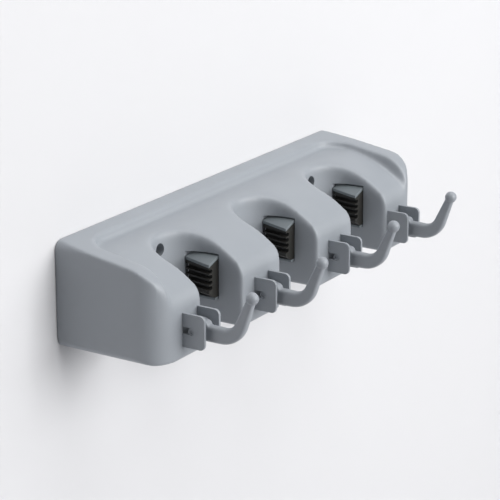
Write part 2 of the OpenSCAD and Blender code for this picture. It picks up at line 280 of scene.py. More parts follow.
def bevel_edges(piece: Object, test: EdgeTest, radius: float, segments: int) -> Object:
    """Round the edges that a test picks by their place and direction.

    Args:
        piece: The piece to shape.
        test: Says yes to an edge, from its middle in millimetres and its unit direction.
        radius: Width of the rounding, in millimetres.
        segments: How many faces go round it.

    Returns:
        The same piece.
    """
    with editing(piece, "EDGE", "DESELECT"):
        net = bmesh.from_edit_mesh(piece.data)
        for edge in net.edges:
            start, end = (v.co for v in edge.verts)
            edge.select_set(test((start + end) / 2 / MM, (end - start).normalized()))
        bmesh.update_edit_mesh(piece.data)
        bpy.ops.mesh.bevel(offset=radius * MM, segments=segments, affect="EDGES", clamp_overlap=True)
    return piece


def apply_modifier(piece: Object, kind: str, **settings: object) -> Object:
    """Add a modifier with its settings and apply it.

    Args:
        piece: The piece to shape.
        kind: The modifier's type name.
        settings: The modifier's own properties.

    Returns:
        The same piece.
    """
    pick(piece)
    modifier = piece.modifiers.new(kind.title(), kind)
    for name, value in settings.items():
        setattr(modifier, name, value)
    bpy.ops.object.modifier_apply(modifier=modifier.name)
    return piece


def combine(piece: Object, tool: Object, how: Join) -> Object:
    """Let one solid act on another, and put the tool away.

    Args:
        piece: The solid that is kept.
        tool: The solid that acts on it and is then deleted.
        how: Union, difference or intersection.

    Returns:
        The kept solid.
    """
    apply_modifier(piece, "BOOLEAN", object=tool, operation=how.value, solver="EXACT")
    bpy.data.meshes.remove(tool.data)
    return piece


def join(pieces: Iterable[Object]) -> Object:
    """Join several objects into the first one.

    Args:
        pieces: The objects, which keep their places.

    Returns:
        The joined object.
    """
    found = list(pieces)
    pick(found[0])
    for piece in found:
        piece.select_set(True)
    bpy.ops.object.join()
    return found[0]


def select_corners(piece: Object, test: PlaceTest) -> None:
    """Select the corners that a test picks, on a piece that is held in edit mode.

    Args:
        piece: The piece, with nothing selected.
        test: Says yes to a corner, from its place in millimetres.
    """
    net = bmesh.from_edit_mesh(piece.data)
    for corner in net.verts:
        corner.select_set(test(corner.co / MM))
    net.select_flush_mode()
    bmesh.update_edit_mesh(piece.data)


def soften(piece: Object, voxel: float, rounds: int) -> Object:
    """Turn a sharp solid into an even skin with soft edges, as a mould gives.

    Args:
        piece: The solid.
        voxel: Size of the skin's faces, in millimetres.
        rounds: How many times the skin is smoothed.

    Returns:
        The same piece.
    """
    apply_modifier(piece, "REMESH", mode="VOXEL", voxel_size=voxel * MM)
    with editing(piece):
        bpy.ops.mesh.vertices_smooth(factor=0.5, repeat=rounds)
    return piece


def smooth_where(piece: Object, test: PlaceTest, rounds: int) -> Object:
    """Smooth the part of a skin that a test picks by its place.

    Args:
        piece: The piece to shape.
        test: Says yes to a corner, from its place in millimetres.
        rounds: How many times that part is smoothed.

    Returns:
        The same piece.
    """
    with editing(piece, action="DESELECT"):
        select_corners(piece, test)
        bpy.ops.mesh.vertices_smooth(factor=0.5, repeat=rounds)
    return piece


def trim(piece: Object, point: Point, normal: Point) -> Object:
    """Cut off what lies beyond a plane and close the cut.

    Args:
        piece: The solid.
        point: A point of the plane, in millimetres.
        normal: The direction that is cut off.

    Returns:
        The same piece.
    """
    with editing(piece):
        bpy.ops.mesh.bisect(plane_co=Vector(point) * MM, plane_no=normal, use_fill=True, clear_outer=True)
    return piece


def copy_piece(piece: Object, name: str, along: float, mirrored: bool = False) -> Object:
    """Copy a piece with its own mesh to a place along the rack.

    Args:
        piece: The model of the piece, at the middle of the rack.
        name: The copy's name.
        along: How far the copy is moved along X, in millimetres.
        mirrored: Whether left and right are swapped first.

    Returns:
        The copy, at the origin, with its place in its mesh.
    """
    copy = bpy.data.objects.new(name, piece.data.copy())
    bpy.context.scene.collection.objects.link(copy)
    shift = Matrix.Translation((along * MM, 0, 0))
    copy.data.transform(shift @ Matrix.Diagonal((-1 if mirrored else 1, 1, 1, 1)))
    with editing(copy):
        bpy.ops.mesh.remove_doubles(threshold=SAME_PLACE)
        bpy.ops.mesh.normals_make_consistent(inside=False)
    return copy


def bevel_sharp(piece: Object, width: float, segments: int = 2) -> Object:
    """Round every sharp edge.

    Args:
        piece: The piece to shape.
        width: Width of the rounding, in millimetres.
        segments: How many faces go round it.

    Returns:
        The same piece.
    """
    with editing(piece, "EDGE", "DESELECT"):
        bpy.ops.mesh.edges_select_sharp(sharpness=math.radians(ROUNDED_EDGE))
        bpy.ops.mesh.bevel(offset=width * MM, segments=segments, affect="EDGES", clamp_overlap=True)
    return piece


def nudge(piece: Object, test: PlaceTest, move: Point) -> Object:
    """Move the corners that a test picks by their place.

    Args:
        piece: The piece to shape.
        test: Says yes to a corner, from its place in millimetres.
        move: How far the corners are moved, in millimetres.

    Returns:
        The same piece.
    """
    with editing(piece, action="DESELECT"):
        select_corners(piece, test)
        bpy.ops.transform.translate(value=Vector(move) * MM)
    return piece


def shade(piece: Object) -> Object:
    """Shade a piece smooth, with its flats kept flat and its sharp edges crisp.

    Args:
        piece: The piece.

    Returns:
        The same piece.
    """
    pick(piece)
    bpy.ops.object.shade_smooth_by_angle(angle=math.radians(CRISP_EDGE))
    return apply_modifier(piece, "WEIGHTED_NORMAL", keep_sharp=True, weight=90)


def dress(piece: Object, finish: Material, node: str, body: str | None) -> Object:
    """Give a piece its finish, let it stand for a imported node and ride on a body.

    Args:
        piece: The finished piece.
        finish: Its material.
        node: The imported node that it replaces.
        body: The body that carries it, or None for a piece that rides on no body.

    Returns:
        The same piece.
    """
    piece.data.materials.clear()
    piece.data.materials.append(finish)
    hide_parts(node)
    if body:
        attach(piece, body)
    LOG.info("%s, for %s: %d faces", piece.name, node, len(piece.data.polygons))
    return piece


def arc(centre: Point, radius: float, start: float, stop: float, steps: int) -> list[Pair]:
    """Return the points of an arc.

    Args:
        centre: Its centre in the plane.
        radius: Its radius.
        start: The angle of its first point, in degrees.
        stop: The angle of its last point, in degrees.
        steps: How many chords it has.

    Returns:
        The points, both ends among them.
    """
    angles = (math.radians(start + (stop - start) * i / steps) for i in range(steps + 1))
    return [(centre[0] + radius * math.cos(a), centre[1] + radius * math.sin(a)) for a in angles]


def upright(place: Point) -> EdgeTest:
    """Return a test for upright edges that stand at a place in plan, for either sign of X.

    Args:
        place: Distance from the middle plane and depth, in millimetres.

    Returns:
        The test.
    """
    return lambda mid, way: (
        abs(way.z) > ALONG and abs(abs(mid.x) - place[0]) < NEAR and abs(mid.y - place[1]) < NEAR
    )


# Finishes


@dataclass(frozen=True)
class MouldedPlastic:
    """A satin injection moulding: even colour, a faint spark-eroded grain and slightly uneven gloss."""

    name: str
    colour: str
    dark: str
    roughness: float
    grain_mm: float = 0.9
    cloud_mm: float = 26.0
    bump_mm: float = 0.02
    bump_strength: float = 0.35
    gloss_spread: float = 0.05
    ior: float = 1.53

    def material(self) -> Material:
        """Make the material.

        Returns:
            The material, patterned on object coordinates.
        """
        made = bpy.data.materials.new(self.name)
        made.use_nodes = True
        tree = made.node_tree
        shader = tree.nodes["Principled BSDF"]
        shader.inputs["IOR"].default_value = self.ior
        place = add_node(tree, "ShaderNodeTexCoord").outputs["Object"]
        cloud = add_node(
            tree, "ShaderNodeTexNoise", {"Vector": place, "Scale": per_metre(self.cloud_mm), "Detail": 3.0}
        )
        grain = add_node(
            tree, "ShaderNodeTexNoise", {"Vector": place, "Scale": per_metre(self.grain_mm), "Detail": 2.0}
        )
        tone = add_node(
            tree,
            "ShaderNodeMix",
            {"Factor": cloud.outputs["Fac"], 6: linear(self.dark), 7: linear(self.colour)},
            data_type="RGBA",
        )
        dull, bright = self.roughness + self.gloss_spread, self.roughness - self.gloss_spread
        gloss = add_node(
            tree, "ShaderNodeMapRange", {"Value": cloud.outputs["Fac"], "To Min": dull, "To Max": bright}
        )
        relief = add_node(
            tree,
            "ShaderNodeBump",
            {"Height": grain.outputs["Fac"], "Strength": self.bump_strength, "Distance": self.bump_mm * MM},
        )
        tree.links.new(tone.outputs[2], shader.inputs["Base Color"])
        tree.links.new(gloss.outputs[0], shader.inputs["Roughness"])
        tree.links.new(relief.outputs[0], shader.inputs["Normal"])
        return made


@dataclass(frozen=True)
class DrawnSteel:
    """Drawn steel wire or rod: bright metal with fine lines along the draw."""

    name: str
    colour: str
    roughness: float
    line_mm: float = 0.25
    draw_share: float = 0.05
    brighter: float = 0.08
    duller: float = 0.12

    def material(self) -> Material:
        """Make the material.

        Returns:
            The material, patterned on object coordinates.
        """
        made = bpy.data.materials.new(self.name)
        made.use_nodes = True
        tree = made.node_tree
        shader = tree.nodes["Principled BSDF"]
        shader.inputs["Base Color"].default_value = linear(self.colour)
        shader.inputs["Metallic"].default_value = 1.0
        place = add_node(tree, "ShaderNodeTexCoord").outputs["Object"]
        drawn = add_node(tree, "ShaderNodeMapping", {"Vector": place, "Scale": (1.0, self.draw_share, 1.0)})
        lines = add_node(
            tree,
            "ShaderNodeTexNoise",
            {"Vector": drawn.outputs[0], "Scale": per_metre(self.line_mm), "Detail": 2.0},
        )
        bright, dull = self.roughness - self.brighter, self.roughness + self.duller
        gloss = add_node(
            tree, "ShaderNodeMapRange", {"Value": lines.outputs["Fac"], "To Min": bright, "To Max": dull}
        )
        tree.links.new(gloss.outputs[0], shader.inputs["Roughness"])
        return made


# The pieces


@dataclass
class RackShell:
    """The moulded shell: slots, sunk deck, raised border and cheeks, ears, pin ribs and screw tubes."""

    finish: Material
    slot_x: Sequence[float]
    hook_x: Sequence[float]
    pivot: Vector
    trunnion: Vector
    jaw_span: Pair
    depth: float = 66.0
    wall: float = 2.5
    slot_w: float = 40.0
    slot_depth: float = 41.0
    end_r: float = 16.0
    outline_r: float = 5.5
    lobe_r: float = 2.0
    top_fall: float = 8.6
    brow_r: float = 22.0
    border_w: float = 9.5
    cheek_w: float = 12.3
    deck_back: float = 12.0
    deck_drop: float = 4.4
    crown_r: float = 82.0
    nose_r: float = 13.8
    nose_drop: float = 32.8
    deck_corner_r: float = 16.0
    deck_fillet: float = 12.0
    deck_lead: float = 3.0
    step_inner: float = 32.0
    step_outer: float = 5.0
    step_low: float = -22.0
    step_rings: int = 4
    step_rounds: int = 2
    brow_front: float = -36.0
    brow_rounds: int = 5
    rim_reach: float = 4.0
    rim_rounds: int = 9
    bowl_reach: float = 7.0
    bowl_front: float = -51.0
    bowl_rounds: int = 9
    ring_step: float = 1.5
    fade_step: float = 4.0
    fades: int = 3
    ear_gap: float = 12.2
    ear_t: float = 1.8
    ear_l: float = 13.9
    ear_h: float = 19.0
    ear_r: float = 3.0
    ear_edge: float = 0.35
    keyhole_r: float = 2.05
    keyhole_h: float = 4.0
    keyhole_short: float = 0.02
    window_h: float = 26.15
    sill_up: float = 0.45
    rib_t: float = 2.5
    rib_up: float = 5.5
    pin_r: float = 1.5
    screw_r: float = 2.25
    head_r: float = 3.9
    seat_t: float = 4.0
    tube_r: float = 6.0
    past: float = 6.0
    bore_past: float = 0.2
    voxel: float = 0.9
    rounds: int = 6
    thinning: float = 0.55
    low: Vector = field(init=False)
    high: Vector = field(init=False)

    def __post_init__(self) -> None:
        """Take the body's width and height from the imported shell."""
        low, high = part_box("rack_shell")
        self.low, self.high = low / MM, high / MM

    @property
    def front(self) -> float:
        """Depth of the lobe fronts."""
        return -self.depth

    def deck_line(self, margin: float) -> list[Pair]:
        """Return the deck's side outline from the wall to the lobe fronts, drawn in by a margin.

        Args:
            margin: How far the outline lies inside the deck's own surface.

        Returns:
            Points of depth and height: the gentle crown, then the nose.
        """
        slope = math.tan(math.radians(self.top_fall))
        back = Vector((-self.deck_back, self.high.z - self.deck_back * slope - self.deck_drop))
        nose = Vector((self.front + self.nose_r, self.high.z - self.nose_drop))
        reach = self.crown_r - self.nose_r
        gap = (nose - back).length
        along = (self.crown_r ** 2 - reach ** 2 + gap ** 2) / (2 * gap)
        aside = math.sqrt(self.crown_r ** 2 - along ** 2)
        way = (nose - back) / gap
        crown = back + along * way + aside * Vector((-way.y, way.x))
        turn = math.degrees(math.atan2(nose.y - crown.y, nose.x - crown.x))
        start = math.degrees(math.acos((self.past - crown.x) / (self.crown_r - margin)))
        return (
            arc(crown, self.crown_r - margin, start, turn, steps=28)
            + arc(nose, self.nose_r - margin, turn, 180, steps=14)[1:]
        )

    def deck_tool(self, margin: float) -> Object:
        """Make the space above the deck, between the border and the cheeks, grown by a margin.

        Args:
            margin: How far the space is grown.

        Returns:
            The space as a solid, with the deck's own fillets on its lower edges.
        """
        half = self.high.x - self.cheek_w + margin
        back = -self.border_w + margin
        deck = self.deck_line(margin)
        first = next(z for y, z in deck if y < back)
        line = [p for p in deck if p[0] < back - self.deck_fillet - margin - self.deck_lead]
        ahead, above = self.front - self.past, 2 * self.depth
        side = [(back, first), *line, (ahead, line[-1][1]), (ahead, above), (back, above)]
        tool = add_prism("deck_tool", [(-half, y, z) for y, z in side], (2 * half, 0, 0))
        corner = self.deck_corner_r + margin
        bevel_edges(tool, upright((half, back)), corner, segments=10)
        plumb = 0.999

        def on_foot(mid: Vector, way: Vector) -> bool:
            """Pick the edges along the foot of the cheeks and the border."""
            if mid.z > first + NEAR or mid.y < self.front - NEAR or abs(way.z) >= plumb:
                return False
            at_edge = abs(mid.x) > half - HAIR or mid.y > back - corner - HAIR
            return at_edge and self.rims(mid, half, back, corner)

        return bevel_edges(tool, on_foot, self.deck_fillet + margin, segments=6)

    def rims(self, mid: Vector, half: float, back: float, corner: float) -> bool:
        """Say whether a point lies on the plan outline of the deck.

        Args:
            mid: The point, in millimetres.
            half: Half the deck's width.
            back: Depth of the deck's back edge.
            corner: Radius of the deck's two back corners.

        Returns:
            Whether the point is on the sides, the back or the two round corners.
        """
        out = Vector((abs(mid.x) - (half - corner), mid.y - (back - corner)))
        if out.x > 0 and out.y > 0:
            return abs(out.length - corner) < NEAR
        return abs(abs(mid.x) - half) < NEAR / 2 or abs(mid.y - back) < NEAR / 2

    def slot_tool(self, x: float, margin: float) -> Object:
        """Make one handle slot as an upright solid.

        Args:
            x: The slot's place along the rack.
            margin: How far the slot is grown.

        Returns:
            The slot as a solid, round at its back.
        """
        half = self.slot_w / 2 + margin
        back = self.front + self.slot_depth + margin
        tool = add_box(
            "slot_tool",
            (-half, self.front - self.past - margin, self.low.z - self.depth),
            (half, back, self.high.z + self.depth),
        )
        bevel_edges(tool, upright((half, back)), half - HAIR, segments=28)
        tool.data.transform(Matrix.Translation((x * MM, 0, 0)))
        return tool

    def block(self, margin: float) -> Object:
        """Make the body without its hollow, drawn in by a margin, and run out past the wall.

        Args:
            margin: How far every face but the back is drawn in.

        Returns:
            The block with its slots and its sunk deck.
        """
        half, front = self.high.x - margin, self.front + margin
        low, high = self.low.z + margin, self.high.z - margin
        body = add_box("rack_shell", (-half, front, low - self.past), (half, self.past, high + self.past))
        bevel_edges(body, upright((half, front)), self.end_r - margin, segments=14)
        for x in self.slot_x:
            combine(body, self.slot_tool(x, margin), Join.DIFFERENCE)
        if not margin:
            tests = [upright((abs(x + way * self.slot_w / 2), front)) for x, way in self.at_jaws()]
            bevel_edges(body, lambda m, w: any(test(m, w) for test in tests), self.lobe_r, segments=6)
        combine(body, self.side_tool(margin), Join.INTERSECT)
        outline = add_box("outline_tool", (-half, front - self.past, low), (half, 2 * self.past, high))
        bevel_edges(outline, lambda m, w: abs(w.y) > ALONG, self.outline_r - margin, segments=8)
        combine(body, outline, Join.INTERSECT)
        return combine(body, self.deck_tool(margin), Join.DIFFERENCE)

    def side_tool(self, margin: float) -> Object:
        """Make the prism of the border's and cheeks' side outline.

        Args:
            margin: How far the outline is drawn in.

        Returns:
            The prism, wider than the rack.
        """
        slope = math.radians(self.top_fall)
        top = self.high.z - margin / math.cos(slope)
        brow_y = self.front + self.brow_r
        brow_z = self.high.z + brow_y * math.tan(slope) - self.brow_r / math.cos(slope)
        far = self.high.x + self.past
        line = [(self.past, self.low.z + margin), (self.front + margin, self.low.z + margin)]
        line += arc((brow_y, brow_z), self.brow_r - margin, 180, 90 + self.top_fall, steps=16)
        line.append((self.past, top + self.past * math.tan(slope)))
        return add_prism("side_tool", [(-far, y, z) for y, z in line], (2 * far, 0, 0))

    def at_jaws(self) -> Iterable[tuple[float, int]]:
        """Yield each jaw's slot place and its direction along X."""
        return ((x, side.value) for x in self.slot_x for side in Side)

    def hollow(self) -> Object:
        """Make the hollow, open to the wall, with the pin ribs and screw tubes left standing.

        Returns:
            The hollow as a solid.
        """
        space = self.block(self.wall)
        front, back = self.jaw_span
        out = self.pivot.x + 2 * self.pin_r + self.wall
        top = self.pivot.z + self.rib_up
        ribs = []
        for x, way in self.at_jaws():
            near, far = sorted((x + way * self.slot_w / 2, x + way * out))
            for y in (front - self.rib_t, back):
                ribs.append(add_box("rib", (near, y, self.low.z), (far, y + self.rib_t, top)))
        combine(space, join(ribs), Join.DIFFERENCE)
        tubes = [
            add_drum("tube", (x, self.front / 2, 0), (x, 2 * self.past, 0), self.tube_r)
            for x in (self.slot_x[0], self.slot_x[-1])
        ]
        return combine(space, join(tubes), Join.DIFFERENCE)

    def openings(self) -> Object:
        """Make the jaws' windows, their pins' bores and the screws' ways in, as one tool.

        Returns:
            The tool.
        """
        front, back = self.jaw_span
        sill = self.pivot.z + self.sill_up
        tools = []
        for x, way in self.at_jaws():
            near, far = sorted((x + way * self.slot_w / 4, x + way * self.pivot.x))
            tools.append(add_box("window", (near, front, sill), (far, back, sill + self.window_h)))
            pin_x, pin_z = x + way * self.pivot.x, self.pivot.z
            for y in (front - self.rib_t, back):
                start, end = y - self.bore_past, y + self.rib_t + self.bore_past
                tools.append(add_drum("bore", (pin_x, start, pin_z), (pin_x, end, pin_z), self.pin_r))
        seat = -self.seat_t
        for x in (self.slot_x[0], self.slot_x[-1]):
            tools.append(add_drum("head_way", (x, self.front / 2, 0), (x, seat, 0), self.head_r))
            start, end = (x, seat - self.bore_past, 0), (x, self.past, 0)
            tools.append(add_drum("screw_way", start, end, self.screw_r))
        return join(tools)

    def ear_pair(self, x: float) -> Object:
        """Make the two ears that carry one hook, with the keyholes for its trunnions.

        Args:
            x: The hook's place along the rack.

        Returns:
            The two ears, which reach a little into the lobe's front.
        """
        pair = []
        mid = self.trunnion.z
        for way in (-1, 1):
            near, far = sorted((x + way * self.ear_gap / 2, x + way * (self.ear_gap / 2 + self.ear_t)))
            ear = add_box(
                "ear",
                (near, self.front - self.ear_l, mid - self.ear_h / 2),
                (far, self.front + self.wall / 2, mid + self.ear_h / 2),
            )
            tip = self.front - self.ear_l
            bevel_edges(ear, lambda m, w: abs(w.x) > ALONG and m.y < tip + NEAR, self.ear_r, segments=8)
            bevel_edges(
                ear, lambda m, w: abs(w.x) < 1 - ALONG and m.y < self.front + NEAR, self.ear_edge, segments=2
            )
            pair.append(ear)
        ears = join(pair)
        reach = self.ear_gap / 2 + 2 * self.ear_t
        y = self.trunnion.y
        keyhole = add_drum("keyhole", (x - reach, y, mid), (x + reach, y, mid), self.keyhole_r)
        combine(ears, keyhole, Join.DIFFERENCE)
        snap = add_box(
            "snap",
            (x - reach, y, mid - self.keyhole_h / 2),
            (x + reach, self.front - self.keyhole_short, mid + self.keyhole_h / 2),
        )
        return combine(ears, snap, Join.DIFFERENCE)

    def on_step(self, place: Vector, inset: float) -> bool:
        """Say whether a point lies on the soft step between the deck and its border or cheeks.

        Args:
            place: The point, in millimetres.
            inset: How far the step's zone is drawn in.

        Returns:
            Whether it lies in the zone.
        """
        outside = self.high.x - abs(place.x)
        near, far = self.step_outer + inset, self.step_inner - inset
        if place.z < self.step_low or -place.y < near or outside < near:
            return False
        return outside < far or -place.y < far - self.step_outer

    def rim_test(self, reach: float, foremost: float) -> PlaceTest:
        """Make the test for points near the top rim of a slot.

        Args:
            reach: How far from the rim a point may lie.
            foremost: The depth in front of which no point is picked.

        Returns:
            A test that says yes within reach of a rim, from a place in millimetres.
        """
        half, centre = self.slot_w / 2, self.front + self.slot_depth - self.slot_w / 2
        deck = self.deck_line(0)

        def on_rim(place: Vector) -> bool:
            """Say whether a point lies near a slot's outline in plan and not far below the deck."""
            across = min(abs(place.x - x) for x in self.slot_x)
            out = math.hypot(across, max(place.y - centre, 0)) - half
            if abs(out) > reach or place.y < foremost:
                return False
            height = next(z for y, z in deck if y <= place.y)
            return place.z > max(height - reach, self.step_low)

        return on_rim

    def build(self) -> Object:
        """Model the whole shell and dress it.

        Returns:
            The shell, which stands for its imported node.
        """
        shell = soften(self.block(0), self.voxel, self.rounds)
        smooth_where(shell, self.rim_test(self.rim_reach, self.front + self.rim_reach), self.rim_rounds)
        for ring in range(self.step_rings):
            inset = self.ring_step * ring
            smooth_where(shell, lambda p: self.on_step(p, inset), self.step_rounds)
        for fade in range(self.fades):
            bowl = self.rim_test(self.bowl_reach, self.bowl_front + self.fade_step * fade)
            smooth_where(shell, bowl, self.bowl_rounds)
            brow = self.brow_front - self.fade_step * fade
            smooth_where(shell, lambda p: p.y < brow and self.on_step(p, 0), self.brow_rounds)
        trim(shell, (0, 0, 0), (0, 1, 0))
        combine(shell, join([self.ear_pair(x) for x in self.hook_x]), Join.UNION)
        combine(shell, self.hollow(), Join.DIFFERENCE)
        combine(shell, self.openings(), Join.DIFFERENCE)
        shell.name = "moulded_shell"
        apply_modifier(shell, "DECIMATE", ratio=self.thinning)
        shade(shell)
        return dress(shell, self.finish, "rack_shell", "rack")


@dataclass
class Hook:
    """One fold-up hook: hub with trunnions and heel, lift nub, tapered arm, bend, rise and ball."""

    finish: Material
    axis: Vector
    root_w: float = 11.6
    hub_r: float = 4.6
    heel_l: float = 3.9
    heel_back: float = 5.1
    heel_h: float = 6.0
    nub_w: float = 5.4
    nub_r: float = 2.6
    nub_out: float = 4.3
    nub_up: float = 2.5
    root_size: Pair = (5.6, 9.4)
    bend_size: Pair = (5.6, 9.0)
    rise_size: Pair = (5.2, 6.8)
    neck_size: Pair = (4.2, 4.5)
    corner_r: float = 2.0
    ball_d: float = 7.0
    arm_low: float = 1.6
    arm_run: float = 15.5
    bend_r: float = 12.0
    bend_a: float = 68.0
    bend_steps: int = 14
    rise_l: float = 17.5
    core_l: float = 5.2
    core_h: float = 5.6
    trunnion_r: float = 2.0
    trunnion_l: float = 15.2
    dimple_r: float = 1.1
    dimple_h: float = 0.5
    pin_edge: float = 0.35
    seam: float = 0.001
    voxel: float = 0.4
    rounds: int = 4

    def arm(self) -> Object:
        """Draw the arm as one flat-sided bar: a level run, a tapered bend and a rise up to the ball.

        Returns:
            The arm, with its ball.
        """
        y, z = self.axis.y, self.axis.z - self.arm_low
        bend_start = y - self.arm_run
        clear_selection()
        width, depth = self.root_size
        facing = (math.radians(90), 0, 0)
        bpy.ops.mesh.primitive_plane_add(size=MM, location=Vector((0, y, z)) * MM, rotation=facing)
        bpy.context.object.scale = (width, depth, 1)
        arm = settle("arm")
        with editing(arm):
            bpy.ops.mesh.bevel(offset=self.corner_r * MM, segments=6, affect="VERTICES")
            bpy.ops.mesh.select_mode(type="EDGE")
            bpy.ops.mesh.select_all(action="SELECT")
            run = Vector((0, -self.arm_run, 0))
            bpy.ops.mesh.extrude_edges_move(TRANSFORM_OT_translate={"value": run * MM})
            self.taper(self.root_size, self.bend_size, (0, bend_start, z))
            centre = Vector((0, bend_start, z + self.bend_r))
            step = math.radians(self.bend_a) / self.bend_steps
            for i in range(1, self.bend_steps + 1):
                bpy.ops.mesh.spin(steps=1, angle=step, center=centre * MM, axis=(1, 0, 0))
                top = centre + self.bend_r * Vector((0, -math.sin(i * step), -math.cos(i * step)))
                self.taper(self.bend_size, self.rise_size, top, 1 / self.bend_steps)
            turn = math.radians(self.bend_a)
            rise = self.rise_l * Vector((0, -math.cos(turn), math.sin(turn)))
            end = top + rise
            bpy.ops.mesh.extrude_edges_move(TRANSFORM_OT_translate={"value": rise * MM})
            self.taper(self.rise_size, self.neck_size, end)
            bpy.ops.mesh.edge_face_add()
            bpy.ops.mesh.select_all(action="SELECT")
            bpy.ops.mesh.remove_doubles(threshold=self.seam * MM)
            bpy.ops.mesh.normals_make_consistent(inside=False)
        clear_selection()
        radius = self.ball_d / 2 * MM
        bpy.ops.mesh.primitive_uv_sphere_add(segments=48, ring_count=24, radius=radius, location=end * MM)
        return combine(arm, settle("ball"), Join.UNION)

    def taper(self, old: Pair, new: Pair, middle: Point, step: float = 1.0) -> None:
        """Narrow the selected rim from one width and depth to another.

        Args:
            old: Width and depth where the taper starts, in millimetres.
            new: Width and depth where it ends.
            middle: Middle of the rim, in millimetres.
            step: Share of the taper that this rim takes.
        """
        width, depth = ((n / o) ** step for n, o in zip(new, old))
        bpy.ops.transform.resize(value=(width, depth, depth), center_override=Vector(middle) * MM)

    def root(self) -> Object:
        """Make the hub round the trunnions with its heel and its lift nub.

        Returns:
            The root.
        """
        half, y, z = self.root_w / 2, self.axis.y, self.axis.z
        hub = add_drum("hub", (-half, y, z), (half, y, z), self.hub_r)
        heel = add_box("heel", (-half, y - self.heel_l, z - self.heel_h), (half, y + self.heel_back, z))
        combine(hub, heel, Join.UNION)
        nub_y, nub_z = y - self.nub_out, z + self.nub_up
        nub = add_drum("nub", (-self.nub_w / 2, nub_y, nub_z), (self.nub_w / 2, nub_y, nub_z), self.nub_r)
        return combine(hub, nub, Join.UNION)

    def cores(self) -> Object:
        """Make the two recesses that are cored out of the root's ends behind the trunnions.

        Returns:
            The recesses, as one tool.
        """
        half, y, z = self.root_w / 2, self.axis.y, self.axis.z
        tools = []
        for way in (-1, 1):
            near, far = sorted((way * (half - self.core_l), way * (half + self.core_l)))
            low = (near, y + self.trunnion_r / 2, z - self.core_h / 2)
            tools.append(add_box("core", low, (far, y + 2 * self.heel_back, z + self.core_h / 2)))
        return join(tools)

    def trunnions(self) -> Object:
        """Make the pin through the hub, chamfered and dimpled at both ends.

        Returns:
            The pin.
        """
        half, y, z = self.trunnion_l / 2, self.axis.y, self.axis.z
        pin = bevel_sharp(add_drum("trunnions", (-half, y, z), (half, y, z), self.trunnion_r), self.pin_edge)
        for way in (-1, 1):
            dimple = add_drum(
                "dimple",
                (way * (half - self.dimple_h), y, z),
                (way * (half + self.dimple_h), y, z),
                self.dimple_r,
            )
            combine(pin, dimple, Join.DIFFERENCE)
        return pin

    def build(self, places: Sequence[float]) -> list[Object]:
        """Model one hook and copy it to its places.

        Args:
            places: Where the hooks are along the rack.

        Returns:
            The hooks.
        """
        model = soften(combine(self.arm(), self.root(), Join.UNION), self.voxel, self.rounds)
        combine(model, self.cores(), Join.DIFFERENCE)
        combine(model, self.trunnions(), Join.UNION)
        hooks = []
        for number, x in enumerate(places, 1):
            hook = shade(copy_piece(model, f"fold_hook_{number}", x))
            hooks.append(dress(hook, self.finish, f"hook_{number}", f"hook_{number}"))
        bpy.data.meshes.remove(model.data)
        return hooks


